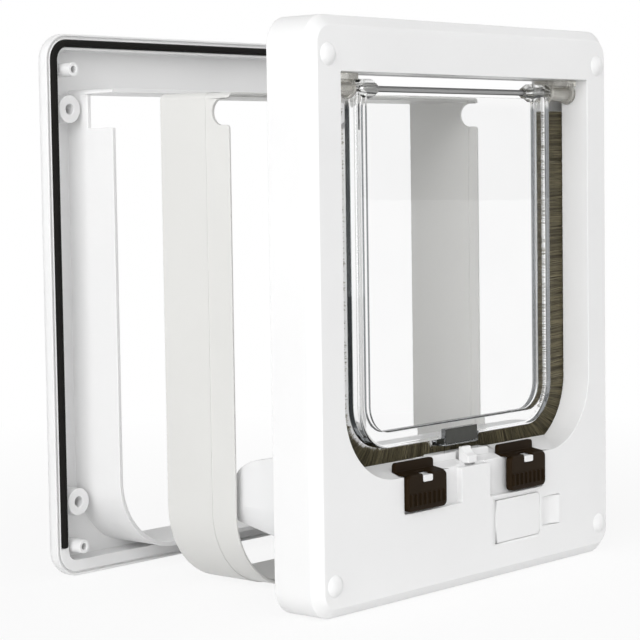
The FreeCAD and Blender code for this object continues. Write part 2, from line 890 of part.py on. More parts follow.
def battery_door():
    """Flat door flush with the face, rounded and pinned along its left edge."""
    back = face_y + door_thickness
    door = door_outline(door_pin_x, door_gap, face_y, back)
    low = door_low + door_gap
    high = door_high - door_gap
    edge = rod_z(door_pin_x, door_pin_y, door_thickness / 2, low, high)
    pin = rod_z(door_pin_x, door_pin_y, door_pin_radius, door_low - door_pin_length,
                door_high + door_pin_length)
    return door.fuse([edge, pin]).removeSplitter()


def terminal_places():
    middle = battery_left + battery_width / 2
    return [(middle + side * terminal_pitch / 2, door_middle) for side in (-1, 1)]


def battery():
    """Nine-volt block, pushed in end first, with its two snap studs at the far end."""
    back = battery_front + battery_length
    block = slab(battery_left, battery_left + battery_width, battery_low,
                 battery_low + battery_height, battery_corner, battery_corner,
                 battery_front, back)
    for x, z in terminal_places():
        block = block.fuse(rod_y(x, z, terminal_radius, back - root, back + terminal_length))
    return block


def battery_snap():
    """Clip with two cups on the battery's studs, against the end of the well."""
    clip = slab(battery_left + snap_margin, battery_left + battery_width - snap_margin,
                battery_low + snap_height_margin,
                battery_low + battery_height - snap_height_margin,
                battery_corner, battery_corner, snap_front, well_end - seat_gap)
    for x, z in terminal_places():
        clip = clip.cut(rod_y(x, z, terminal_radius + seat_gap, snap_front - over,
                              snap_front + terminal_length))
    return clip


def battery_space(grow, y0, y1):
    """The space round the battery, grown by a clearance and where asked by the well's wall."""
    return box(battery_left - grow, battery_left + battery_width + grow, y0, y1,
               battery_low - grow, battery_low + battery_height + grow)


def nose_side(reach):
    """The sensor housing seen from the side, carried on by a reach behind the cover's face."""
    left = -nose_half - over
    across = vec(1, 0, 0)
    start = vec(left, 0, nose_top)
    shoulder = vec(left, nose_shoulder_y, nose_top - nose_shoulder_drop)
    tip = vec(left, nose_depth, nose_top - nose_tip_drop)
    chin = vec(left, nose_chin_y, nose_top - nose_chin_drop)
    low = vec(left, 0, nose_low)
    back_low = vec(left, -reach, nose_low)
    back_top = vec(left, -reach, nose_top)
    edges = [
        bulged(start, shoulder, nose_crown, across),
        bulged(shoulder, tip, nose_tip_bulge, across),
        bulged(tip, chin, nose_chin_bulge, across),
        Part.LineSegment(chin, low),
        Part.LineSegment(low, back_low),
        Part.LineSegment(back_low, back_top),
        Part.LineSegment(back_top, start),
    ]
    return Part.Face(Part.Wire([edge.toShape() for edge in edges]))


def nose_block(inset):
    """The sensor housing's body, rounded at its far corners, less a wall where it is asked for."""
    side = nose_side(over + inset)
    if inset:
        side = side.makeOffset2D(-inset)
    body = side.extrude(vec(2 * (nose_half + over), 0, 0))
    half = nose_half - inset
    plan = box(-half, half, -over, nose_depth - inset, 0, frame_height)
    far = [edge for edge in plan.Edges
           if edge.BoundBox.ZLength > sill_height and edge.BoundBox.YMin > 0]
    return body.common(plan.makeFillet(nose_plan_corner - inset, far))


def collar_room(gap):
    """The space inside the collar and the tunnel, less a gap, that the housing has to fit."""
    inset = collar_wall + gap
    return slab(-collar_half + inset, collar_half - inset, collar_bottom + inset,
                collar_top - inset, collar_corner - inset, tunnel_inner_corner,
                0, nose_depth + over)


def sensor_housing():
    """Rounded housing behind the sill, with the battery's well let into it and a flange that
    lies against the back cover."""
    flange = box(-nose_half, nose_half, 0, nose_flange, nose_low - nose_foot, nose_top)
    shell = nose_block(0).fuse(flange).common(collar_room(running_gap))
    hollow = nose_block(nose_wall).common(collar_room(running_gap + nose_wall))
    well = battery_space(running_gap + well_wall, 0, well_end + well_wall)
    shell = shell.cut(hollow.cut(well)).fuse(well)
    shell = shell.cut(battery_space(running_gap, -over, well_end))
    for x, z in nose_screw_places():
        shell = shell.cut(rod_y(x, z, cover_screw_radius + seat_gap, -over, nose_flange + over))
    return shell.removeSplitter()


def circuit_board():
    """Board on its two posts, with the chip that reads the reed switch."""
    board = box(board_left, board_left + board_width, board_y, board_back, board_low,
                board_low + board_height)
    for x, z in board_screw_places():
        board = board.cut(rod_y(x, z, board_screw_radius + seat_gap, board_y - over,
                                board_back + over))
    chip_left = board_left + board_width / 2
    chip = box(chip_left, chip_left + chip_width, board_back, board_back + chip_thickness,
               board_middle - chip_height / 2, board_middle + chip_height / 2)
    return board.fuse(chip)


def reed_switch():
    left = board_left + reed_inset
    return rod_x(board_back + reed_radius, board_low + board_height - reed_inset, reed_radius,
                 left, left + reed_length)


def collar_ring(y0, y1):
    """The collar's wall, which the sleeve slides over."""
    outer = slab(-collar_half, collar_half, collar_bottom, collar_top, collar_corner,
                 collar_wall, y0, y1)
    inner_half = collar_half - collar_wall
    inner = slab(-inner_half, inner_half, collar_bottom + collar_wall, collar_top - collar_wall,
                 collar_corner - collar_wall, tunnel_inner_corner, y0 - over, y1 + over)
    return outer.cut(inner)


def back_cover():
    """Plate that closes the inner frame behind, with a collar that the tunnel slides over."""
    inset = frame_wall + seat_gap
    corner = frame_corner - inset
    cover = slab(-half_width + inset, half_width - inset, inset, frame_height - inset,
                 corner, corner, -cover_plate, 0)
    cover = cover.fuse(collar_ring(-cover_plate / 2, collar_length))
    for x, z in board_screw_places():
        cover = cover.fuse(rod_y(x, z, board_post_radius, -cover_plate / 2, board_y))

    # The passage for the cat, and the way through for the battery
    inner_half = collar_half - collar_wall
    cover = cover.cut(slab(-inner_half, inner_half, passage_bottom, collar_top - collar_wall,
                           tunnel_inner_corner, tunnel_inner_corner, -cover_plate - over,
                           collar_length + over))
    cover = cover.cut(box(-window_half, window_half, -cover_plate - over, over,
                          passage_bottom + root, opening_top))
    cover = cover.cut(box(-window_half, window_half, -over, collar_length + over,
                          passage_bottom + root, collar_top + over))
    cover = cover.cut(battery_space(running_gap, -cover_plate - over, over))

    for x, z in fixing_places():
        cover = cover.cut(rod_y(x, z, fixing_bore, -cover_plate - over, over))
    for x, z in cover_screw_places():
        cover = cover.cut(rod_y(x, z, cover_screw_radius + seat_gap, -cover_plate - over, over))
    for x, z in nose_screw_places():
        cover = cover.cut(rod_y(x, z, cover_screw_radius, -cover_plate - over, over))
    for x, z in board_screw_places():
        cover = cover.cut(rod_y(x, z, board_screw_radius, -cover_plate, board_y + over))
    return cover.removeSplitter()


def screw_cap(x, z):
    """Domed plug: a shallow cap on the face and a stem in the screw's tube."""
    sphere_radius = (cap_radius ** 2 + cap_height ** 2) / (2 * cap_height)
    front = face_y - cap_height
    dome = Part.makeSphere(sphere_radius, vec(x, front + sphere_radius, z))
    dome = dome.common(rod_y(x, z, cap_radius, front - over, face_y))
    return dome.fuse(rod_y(x, z, cap_stem_radius, face_y - pin_gap, face_y + cap_stem_length))


def pan_screw(x, z, seat_y, radius, head_radius, length):
    """Self-tapping screw put in from behind: a slotted round head on seat_y, shank forwards."""
    top = seat_y + screw_head_height
    head = rod_y(x, z, head_radius, seat_y, top)
    shank = rod_y(x, z, radius - pin_gap, seat_y - length, seat_y)
    slot = box(x - screw_slot / 2, x + screw_slot / 2, top - screw_slot, top + over,
               z - head_radius, z + head_radius)
    return head.fuse(shank).cut(slot)


def screw_set(places, seat_y, radius, head_radius, length):
    return Part.makeCompound([pan_screw(x, z, seat_y, radius, head_radius, length)
                              for x, z in places])


def tunnel_shape(inset, y0, y1):
    """The sleeve's outer outline, drawn in by an inset."""
    return slab(-tunnel_half + inset, tunnel_half - inset, inset, tunnel_height - inset,
                tunnel_corner - inset, max(tunnel_top_corner - inset, tunnel_inner_corner),
                y0, y1)


def tunnel_notch():
    """Round-ended notch let into the front edge of the left wall, with a rounded mouth."""
    low = notch_z - notch_radius
    high = notch_z + notch_radius
    left = -tunnel_half - over
    right = -tunnel_half + tunnel_wall + over
    middle = tunnel_front + notch_depth - notch_radius
    notch = rod_x(middle, notch_z, notch_radius, left, right)
    notch = notch.fuse(box(left, right, tunnel_front - over, middle, low, high))
    for z, outward in ((low, -1), (high, 1)):
        mouth = box(left, right, tunnel_front - over, tunnel_front + notch_mouth_round,
                    min(z, z + outward * notch_mouth_round),
                    max(z, z + outward * notch_mouth_round))
        mouth = mouth.cut(rod_x(tunnel_front + notch_mouth_round,
                                z + outward * notch_mouth_round, notch_mouth_round,
                                left - over, right + over))
        notch = notch.fuse(mouth)
    return notch


def tunnel_sleeve():
    """Straight sleeve with large lower corners, thinned at its front end, with two notches."""
    band = tunnel_front + band_length
    sleeve = tunnel_shape(0, band, tunnel_back)
    sleeve = sleeve.fuse(tunnel_shape(band_step, tunnel_front, band))
    sleeve = sleeve.cut(tunnel_shape(tunnel_wall, tunnel_front - over, tunnel_back + over))
    sleeve = sleeve.cut(tunnel_shape(tunnel_wall - rebate_depth, tunnel_front - over,
                                     tunnel_front + rebate_length))
    for notch in both_sides(tunnel_notch()):
        sleeve = sleeve.cut(notch)
    return sleeve.removeSplitter()


def rim_band(inset, width, y0, y1):
    """A band that follows the rim of the outer frame."""
    rings = []
    for step in (inset, inset + width):
        corner = frame_corner - step
        rings.append(slab(-half_width + step, half_width - step, step, frame_height - step,
                          corner, corner, y0, y1))
    return rings[0].cut(rings[1])


def seal_path(gap, y0, y1):
    """The seal's band along the top and both sides, less a gap at its edges and ends."""
    band = rim_band(seal_inset + gap, seal_width - 2 * gap, y0, y1)
    return band.cut(box(-half_width, half_width, y0 - over, y1 + over, 0, seal_low + gap))


def outer_frame():
    """Outer frame from the door side: rim with a seal channel, recessed web, posts and a stub."""
    turn_y = outer_front + outer_side
    frame = slab(-half_width, half_width, 0, frame_height, frame_corner, frame_corner,
                 outer_front, turn_y)
    frame = frame.fuse(sloped_edge(outer_bevel, frame_corner - outer_bevel, outer_back, turn_y))

    # Recess inside the rim, down to the web
    rim = seal_inset + seal_width + outer_lip
    frame = frame.cut(slab(-half_width + rim, half_width - rim, rim, frame_height - rim,
                           frame_corner - rim, frame_corner - rim,
                           outer_front - over, outer_recess))

    # Stub that the tunnel slides over, with a notch at the top of each side
    stub_front = outer_front - stub_reach
    inner_half = collar_half - collar_wall
    frame = frame.fuse(slab(-collar_half, collar_half, collar_bottom, collar_top, collar_corner,
                            collar_wall, stub_front, outer_recess + root))
    frame = frame.cut(slab(-inner_half, inner_half, collar_bottom + collar_wall,
                           collar_top - collar_wall, collar_corner - collar_wall,
                           tunnel_inner_corner, stub_front - over, outer_back + over))
    notch = box(-collar_half - over, -inner_half + over, stub_front - over,
                stub_front + stub_notch_depth, collar_top - collar_wall - stub_notch_height,
                collar_top - collar_wall)
    for cut in both_sides(notch):
        frame = frame.cut(cut)

    # Posts and bosses stand on the web
    for x, z in boss_places():
        frame = frame.fuse(rod_y(x, z, boss_radius, outer_front, outer_recess + root))
    for x, z in fixing_places():
        frame = frame.fuse(rod_y(x, z, post_radius, outer_front - post_reach,
                                 outer_recess + root))
    for x, z in boss_places():
        frame = frame.cut(rod_y(x, z, boss_bore, outer_front - over, outer_recess))
    for x, z in fixing_places():
        frame = frame.cut(rod_y(x, z, post_bore, outer_front - post_reach - over, outer_recess))

    # Fine groove near the rim's edge, and the channel for the seal
    frame = frame.cut(rim_band(groove_inset, groove_width, outer_front - over,
                               outer_front + groove_depth))
    frame = frame.cut(seal_path(0, outer_front - over, outer_front + seal_depth))
    return frame.removeSplitter()


# The inner frame and what it carries
save(front_frame(), "front_frame")
save(back_cover(), "back_cover")
save(sensor_housing(), "sensor_housing")
for index, (x, z) in enumerate(fixing_places()):
    save(screw_cap(x, z), "screw_cap_%d" % (index + 1))
socket = hinge_socket()
save(socket, "hinge_socket_left")
save(mirror_x(socket), "hinge_socket_right")

pile = brush_pile()
channel = brush_channel()
save(left_arm(pile), "brush_pile_left")
save(mirror_x(left_arm(pile)), "brush_pile_right")
save(lower_arm(pile), "brush_pile_bottom")
save(left_arm(channel), "brush_carrier_left")
save(mirror_x(left_arm(channel)), "brush_carrier_right")
save(lower_arm(channel), "brush_carrier_bottom")

save(latch_guide(), "latch_guide")
save(solenoid_coil(), "solenoid_coil")
save(solenoid_yoke(), "solenoid_yoke")
save(latch_spring(), "latch_spring")
save(battery(), "battery")
save(battery_snap(), "battery_snap")
save(circuit_board(), "circuit_board")
save(reed_switch(), "reed_switch")
save(screw_set(cover_screw_places(), 0, cover_screw_radius, cover_screw_head,
               cover_screw_length), "back_cover_screws")
save(screw_set(nose_screw_places(), nose_flange, cover_screw_radius, cover_screw_head,
               nose_screw_length), "sensor_housing_screws")
save(screw_set(board_screw_places(), board_back, board_screw_radius, board_screw_head,
               board_screw_length), "circuit_board_screws")

# What moves
save(flap_panel(), "flap_panel")
save(magnet(0, 0), "flap_magnet")
save(hinge_rod(), "hinge_rod")
save(lock_slider(False), "lock_slider_left")
save(mirror_x(lock_slider(True)), "lock_slider_right")
save(slider_peg(), "slider_peg_left")
save(mirror_x(slider_peg()), "slider_peg_right")
save(latch_tongue(), "latch_tongue")
save(latch_plunger(), "latch_plunger")
save(battery_door(), "battery_cover")

# The tunnel and the outer frame
save(tunnel_sleeve(), "tunnel_sleeve")
save(outer_frame(), "outer_frame")
save(seal_path(seat_gap / 2, outer_front - seal_proud, outer_front + seal_depth),
     "weather_seal")
print("middle of the whole", round(whole_middle, 3))
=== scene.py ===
# %% [markdown]
# # A cat flap, taken apart for fitting
#
# The object is a white plastic cat flap in its three groups: the inner frame with the clear flap,
# the tunnel sleeve that lines the hole in the door, and the outer frame. Every rigid piece comes
# from the CAD model, which is loaded here as a fixed frame. This notebook gives those pieces
# their finish, grows the brush that seals round the flap, and sets the light and the camera.

# %% Load the frame
import json
import math

import bmesh
import bpy
from mathutils import Matrix, Vector


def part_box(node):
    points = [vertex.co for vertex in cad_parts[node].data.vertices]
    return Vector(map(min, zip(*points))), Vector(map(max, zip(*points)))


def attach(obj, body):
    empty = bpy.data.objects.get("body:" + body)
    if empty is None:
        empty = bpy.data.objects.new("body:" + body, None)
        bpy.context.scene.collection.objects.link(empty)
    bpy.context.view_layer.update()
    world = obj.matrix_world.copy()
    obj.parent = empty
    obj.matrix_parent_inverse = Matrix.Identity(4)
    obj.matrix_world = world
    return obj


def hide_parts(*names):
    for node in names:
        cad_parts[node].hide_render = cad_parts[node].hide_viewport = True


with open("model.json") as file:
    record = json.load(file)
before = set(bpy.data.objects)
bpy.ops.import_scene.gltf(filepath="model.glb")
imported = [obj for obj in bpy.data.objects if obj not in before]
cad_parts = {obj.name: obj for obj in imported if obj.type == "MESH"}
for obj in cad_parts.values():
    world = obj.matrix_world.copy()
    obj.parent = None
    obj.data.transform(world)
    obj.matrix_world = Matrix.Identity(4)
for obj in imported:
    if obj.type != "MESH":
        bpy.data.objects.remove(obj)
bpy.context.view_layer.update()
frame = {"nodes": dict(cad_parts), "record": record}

MM = 0.001

# %% [markdown]
# ## The camera
#
# A product photograph can be matched by solving for the camera first: the frame is a box of
# known width and height, so its edges in the picture give the place, the turn and the lens. The
# three angles below are the heading from the Y axis, the tilt down and the small roll. The
# rotation is built from them directly, which keeps the roll apart from the other two.

# %% Set the camera
camera_place = Vector((-0.731082, -0.637848, 0.183598))
heading, tilt_down, roll = (math.radians(angle) for angle in (48.614, 4.167, -0.834))
lens_in_pixels, picture_width = 2112.69, 640
ahead = Vector((math.sin(heading) * math.cos(tilt_down),
                math.cos(heading) * math.cos(tilt_down), -math.sin(tilt_down)))
level_right = Vector((math.cos(heading), -math.sin(heading), 0))
level_up = level_right.cross(ahead)
right = level_right * math.cos(roll) + level_up * math.sin(roll)
up = level_up * math.cos(roll) - level_right * math.sin(roll)

camera_data = bpy.data.cameras.new("camera")
camera_data.sensor_width = 36
camera_data.lens = lens_in_pixels / picture_width * camera_data.sensor_width
camera_data.clip_end = 30
camera = bpy.data.objects.new("camera", camera_data)
camera.matrix_world = Matrix((
    (right.x, up.x, -ahead.x, camera_place.x),
    (right.y, up.y, -ahead.y, camera_place.y),
    (right.z, up.z, -ahead.z, camera_place.z),
    (0, 0, 0, 1),
))
bpy.context.scene.collection.objects.link(camera)
bpy.context.scene.camera = camera
print("lens", round(camera_data.lens, 1), "mm")

# %% [markdown]
# ## Writing materials as short lists
#
# Every finish below is a small node network. A few helpers keep them readable: the first adds a
# node and sets its sockets, the last makes the plastic that most pieces are moulded from. A real
# moulding is never one flat colour: its tone drifts a little over the part, its gloss varies
# with the polish of the mould, and its skin has a very fine grain.

# %% Helpers for materials
def add(tree, kind, links=(), **values):
    """Adds a node. Values are sockets by name, links are (socket, source output) pairs."""
    node = tree.nodes.new(kind)
    for key, value in values.items():
        if hasattr(node, key):
            setattr(node, key, value)
        else:
            node.inputs[key.replace("_", " ")].default_value = value
    for socket, source in links:
        tree.links.new(source, node.inputs[socket])
    return node


def new_finish(name):
    """An empty material with its tree, its Principled shader and its Object coordinates."""
    material = bpy.data.materials.new(name)
    material.use_nodes = True
    tree = material.node_tree
    shader = tree.nodes["Principled BSDF"]
    places = tree.nodes.new("ShaderNodeTexCoord").outputs["Object"]
    return material, tree, shader, places


def cloud(tree, places, size_mm, detail=2.0, roughness=0.5):
    """Soft noise whose blotches are about size_mm across."""
    return add(tree, "ShaderNodeTexNoise", [("Vector", places)], Scale=1000 / size_mm,
               Detail=detail, Roughness=roughness).outputs["Fac"]


def between(tree, factor, low, high, start=0.35, end=0.65):
    """Turns a noise value into a value between low and high."""
    node = add(tree, "ShaderNodeMapRange", [("Value", factor)])
    for socket, value in zip(("From Min", "From Max", "To Min", "To Max"),
                             (start, end, low, high)):
        node.inputs[socket].default_value = value
    return node.outputs["Result"]


def tones(tree, factor, dark, light, start=0.3, end=0.7):
    """Turns a noise value into a colour between two tones."""
    ramp = add(tree, "ShaderNodeValToRGB", [("Fac", factor)])
    ramp.color_ramp.elements[0].position = start
    ramp.color_ramp.elements[0].color = (*dark, 1)
    ramp.color_ramp.elements[1].position = end
    ramp.color_ramp.elements[1].color = (*light, 1)
    return ramp.outputs["Color"]


def grain(tree, shader, heights, depth_mm, strength=1.0):
    """Raises a skin of the given depth over the surface."""
    bump = add(tree, "ShaderNodeBump", [("Height", heights)], Strength=strength,
               Distance=depth_mm * MM)
    tree.links.new(bump.outputs["Normal"], shader.inputs["Normal"])


def moulded(name, dark, light, gloss, blotch_mm=60, grain_mm=0.5, depth_mm=0.004, shine=0.5):
    """Injection moulded plastic: drifting tone, uneven polish and a fine skin."""
    material, tree, shader, places = new_finish(name)
    drift = cloud(tree, places, blotch_mm, 1)
    tree.links.new(tones(tree, drift, dark, light, 0.2, 0.8), shader.inputs["Base Color"])
    polish = between(tree, cloud(tree, places, blotch_mm / 3, 1), *gloss, 0.2, 0.8)
    tree.links.new(polish, shader.inputs["Roughness"])
    shader.inputs["Specular IOR Level"].default_value = shine
    grain(tree, shader, cloud(tree, places, grain_mm, 1), depth_mm)
    return material


finishes = {}

# %% [markdown]
# ## White and grey plastics
#
# The frames are white ABS with a soft gloss. The rounded housing and the sleeve are the same
# plastic with more grey in it. White is kept below full white, so that the light can still model
# the edges.

# %% White and grey plastics
finishes["frame_white"] = moulded("frame_white", (0.80, 0.80, 0.80), (0.83, 0.83, 0.83),
                                  (0.33, 0.37))
finishes["housing_white"] = moulded("housing_white", (0.78, 0.785, 0.79), (0.82, 0.82, 0.82),
                                    (0.33, 0.38))
finishes["tunnel_grey"] = moulded("tunnel_grey", (0.665, 0.663, 0.645), (0.695, 0.693, 0.675),
                                  (0.32, 0.42), grain_mm=0.7, depth_mm=0.008)
print("plastics", sorted(finishes))

# %% [markdown]
# ## Clear plastics
#
# The flap is clear acrylic with polished edges. Cycles bends light through a closed solid, so the
# solid needs only a transmitting shader. The dark lines round a clear part on white are painted
# shade. Light Path counts the bounces inside a rim as glossy ones, and once light has bounced
# inside, the tint turns to a dark painted shade. The eyes at the top of the flap get a lighter
# painted shade, and the frosted sockets and the reed glass get a mild one. A clear part would cast
# a dark shadow, because light is not traced through it towards the lamps. Shadow rays are therefore
# let through by a transparent shader. The sockets that carry the rod are frosted: they let only
# part of the light through and scatter the rest.

# %% Clear plastics
acrylic_bend = 1.49
# Near the eyes the painted shade of bounced light is lighter.
eyes_from, eyes_to = 0.208, 0.212        # heights between which the eyes' own tone comes in


def clear(name, tint, bounced_shade, gloss, scratch_mm=3.0, depth_mm=0.0015, shade=0.06, eyes_bounced_shade=None,
          through=1.0):
    """Clear plastic. Light thrown back inside takes the painted shade `bounced_shade`, or the
    lighter painted shade `eyes_bounced_shade` near the rod. `shade` is the share that a shadow
    loses, `through` the share of light that passes."""
    material, tree, shader, places = new_finish(name)
    ray = tree.nodes.new("ShaderNodeLightPath")
    darker = tuple(c * 0.985 for c in tint)
    tone = tones(tree, cloud(tree, places, 30, 1), darker, tint)
    # Once light has bounced inside, the colour turns to a painted shade.
    bounced = add(tree, "ShaderNodeMath", [(0, ray.outputs["Glossy Depth"])], operation="MINIMUM")
    bounced.inputs[1].default_value = 1.0
    tint_or_bounced_shade = add(tree, "ShaderNodeMix", [(0, bounced.outputs[0]), (6, tone)], data_type="RGBA")
    tint_or_bounced_shade.inputs[7].default_value = (*bounced_shade, 1)
    if eyes_bounced_shade:
        height = add(tree, "ShaderNodeSeparateXYZ", [("Vector", places)]).outputs["Z"]
        upper = between(tree, height, 0.0, 1.0, eyes_from, eyes_to)
        tree.links.new(tones(tree, upper, bounced_shade, eyes_bounced_shade, 0.0, 1.0), tint_or_bounced_shade.inputs[7])
    tree.links.new(tint_or_bounced_shade.outputs[2], shader.inputs["Base Color"])
    polish = between(tree, cloud(tree, places, 12, 1), *gloss)
    tree.links.new(polish, shader.inputs["Roughness"])
    shader.inputs["IOR"].default_value = acrylic_bend
    shader.inputs["Transmission Weight"].default_value = through
    grain(tree, shader, cloud(tree, places, scratch_mm, 1), depth_mm)
    passing = (*[c * (1 - shade) for c in tint], 1)
    let_through = add(tree, "ShaderNodeBsdfTransparent", Color=passing)
    mix = add(tree, "ShaderNodeMixShader", [(0, ray.outputs["Is Shadow Ray"]),
                                            (1, shader.outputs["BSDF"]),
                                            (2, let_through.outputs["BSDF"])])
    tree.links.new(mix.outputs["Shader"], tree.nodes["Material Output"].inputs["Surface"])
    return material


# The flap's dark rim lines are a painted shade, lighter at the eyes.
finishes["flap_clear"] = clear("flap_clear", (1.0, 1.0, 1.0), (0.06, 0.066, 0.07), (0.0, 0.01),
                               eyes_bounced_shade=(0.62, 0.62, 0.60))
finishes["clear_frosted"] = clear("clear_frosted", (0.97, 0.955, 0.91), (0.85, 0.83, 0.76),
                                  (0.14, 0.24), scratch_mm=0.6, depth_mm=0.006, shade=0.15,
                                  through=0.82)
print("finishes", len(finishes))

# %% [markdown]
# ## Brush, locks and foam
#
# The lock sliders are dark brown plastic that mirrors little. The bristles are brown nylon, each
# with its own tone, which comes from a number that the tree gives to every bristle. The seal is
# closed-cell foam: matt black with small pits.

# %% Brown and black pieces
finishes["slider_brown"] = moulded("slider_brown", (0.014, 0.008, 0.003),
                                   (0.021, 0.012, 0.005), (0.44, 0.54), blotch_mm=14,
                                   grain_mm=0.35, depth_mm=0.006, shine=0.06)
finishes["carrier_white"] = moulded("carrier_white", (0.62, 0.61, 0.57), (0.68, 0.67, 0.63),
                                    (0.35, 0.5), blotch_mm=20)
finishes["snap_black"] = moulded("snap_black", (0.012, 0.012, 0.013), (0.02, 0.02, 0.021),
                                 (0.35, 0.5), blotch_mm=10)
finishes["battery_jacket"] = moulded("battery_jacket", (0.03, 0.03, 0.035), (0.05, 0.05, 0.055),
                                     (0.2, 0.3), blotch_mm=16)


def foam(name, pits_per_metre=2200):
    """Closed-cell foam: matt, uneven and pitted."""
    material, tree, shader, places = new_finish(name)
    pits = add(tree, "ShaderNodeTexVoronoi", [("Vector", places)],
               Scale=pits_per_metre).outputs["Distance"]
    lumps = cloud(tree, places, 2.5, 3)
    tree.links.new(tones(tree, lumps, (0.004, 0.0035, 0.003), (0.010, 0.009, 0.008)),
                   shader.inputs["Base Color"])
    tree.links.new(between(tree, lumps, 0.85, 0.98), shader.inputs["Roughness"])
    shader.inputs["Specular IOR Level"].default_value = 0.25
    grain(tree, shader, pits, 0.12)
    return material


def bristle_nylon(name):
    """Brown nylon that takes each bristle's tone from its own number."""
    material, tree, shader, places = new_finish(name)
    own = add(tree, "ShaderNodeAttribute", attribute_name="bristle_tone").outputs["Fac"]
    tree.links.new(tones(tree, own, (0.060, 0.050, 0.027), (0.245, 0.215, 0.13), 0.0, 1.0),
                   shader.inputs["Base Color"])
    tree.links.new(between(tree, cloud(tree, places, 1.0), 0.45, 0.6),
                   shader.inputs["Roughness"])
    return material


finishes["seal_black"] = foam("seal_black")
finishes["pile_brown"] = bristle_nylon("pile_brown")
print("brown and black", sorted(finishes))

# %% [markdown]
# ## Metals and the parts inside
#
# The rod is bright steel, drawn along its length, so its gloss is streaked along X. The screws
# are dull zinc, the winding is enamelled copper wire in fine turns, and the board is green lacquer
# over fibre.

# %% Metals and electrics
def metal(name, dark, light, gloss, stretch=(1, 1, 1), blotch_mm=3.0, depth_mm=0.004):
    """Bare metal. A stretch below 1 draws its streaks out along that axis."""
    material, tree, shader, places = new_finish(name)
    drawn = add(tree, "ShaderNodeMapping", [("Vector", places)], Scale=stretch)
    streaks = cloud(tree, drawn.outputs["Vector"], blotch_mm, 3)
    tree.links.new(tones(tree, streaks, dark, light), shader.inputs["Base Color"])
    tree.links.new(between(tree, streaks, *gloss), shader.inputs["Roughness"])
    shader.inputs["Metallic"].default_value = 1.0
    grain(tree, shader, streaks, depth_mm)
    return material


def winding(name, wire_mm=0.35):
    """Copper wire wound in fine turns, one above the other."""
    material, tree, shader, places = new_finish(name)
    turns = add(tree, "ShaderNodeTexWave", [("Vector", places)], wave_type="BANDS",
                bands_direction="Z", Scale=1000 / wire_mm / math.tau, Distortion=0.6)
    tree.links.new(tones(tree, turns.outputs["Fac"], (0.28, 0.09, 0.035), (0.62, 0.26, 0.11)),
                   shader.inputs["Base Color"])
    shader.inputs["Metallic"].default_value = 0.8
    tree.links.new(between(tree, cloud(tree, places, 2), 0.28, 0.4), shader.inputs["Roughness"])
    grain(tree, shader, turns.outputs["Fac"], 0.06)
    return material


finishes["rod_steel"] = metal("rod_steel", (0.30, 0.30, 0.30), (0.38, 0.38, 0.38), (0.34, 0.46),
                              stretch=(0.05, 1, 1))
finishes["zinc_steel"] = metal("zinc_steel", (0.48, 0.49, 0.50), (0.66, 0.67, 0.68), (0.3, 0.45))
finishes["magnet_dark"] = moulded("magnet_dark", (0.018, 0.019, 0.015), (0.032, 0.033, 0.027),
                                  (0.4, 0.5), blotch_mm=5, grain_mm=0.4, depth_mm=0.01)
finishes["coil_copper"] = winding("coil_copper")
finishes["board_green"] = moulded("board_green", (0.012, 0.09, 0.035), (0.02, 0.13, 0.05),
                                  (0.2, 0.32), blotch_mm=9, grain_mm=0.25, depth_mm=0.02)
finishes["reed_glass"] = clear("reed_glass", (0.92, 0.97, 0.94), (0.3, 0.34, 0.32), (0.0, 0.02))
print("finishes", len(finishes))

# %% [markdown]
# ## Give each CAD piece its finish
#
# The record says which finish every node takes. The node keeps its mesh, and only its material
# changes.

# %% Dress the CAD pieces
slot_of = {part["node"]: part["material_slot"] for part in frame["record"]["subparts"]}
for name, piece in frame["nodes"].items():
    piece.data.materials.clear()
    piece.data.materials.append(finishes[slot_of[name]])
print("dressed", len(slot_of))

# %% [markdown]
# ## Rounded edges
#
# CAD solids have edges of no width, and such an edge never catches the light. A moulded edge has a
# radius of a few tenths of a millimetre, and the outer edges of the two frames have two whole
# ones. A bevel by edge weight gives both sizes in one modifier. It works on a copy whose loose
# triangles were merged first and whose flat faces were joined, because a bevel needs whole faces.
# Weighted normals then keep the wide faces flat beside the narrow rounds. A joined face that runs
# round a hole is hard to fill, so planes through the holes and the pockets cut such faces first.

# %% Helpers for rounding
same_point = 1e-6            # metres: corners nearer than this are one
flat_degrees = 0.5           # faces that meet at less are one flat face
body_of_node = {node: body for body, nodes in frame["record"]["behaviour"]["bodies"].items()
                for node in nodes}


def baked(piece, name):
    """The piece with its modifiers turned into one plain mesh."""
    graph = bpy.context.evaluated_depsgraph_get()
    mesh = bpy.data.meshes.new_from_object(piece.evaluated_get(graph))
    piece.modifiers.clear()
    piece.data = mesh
    mesh.name = name
    return piece


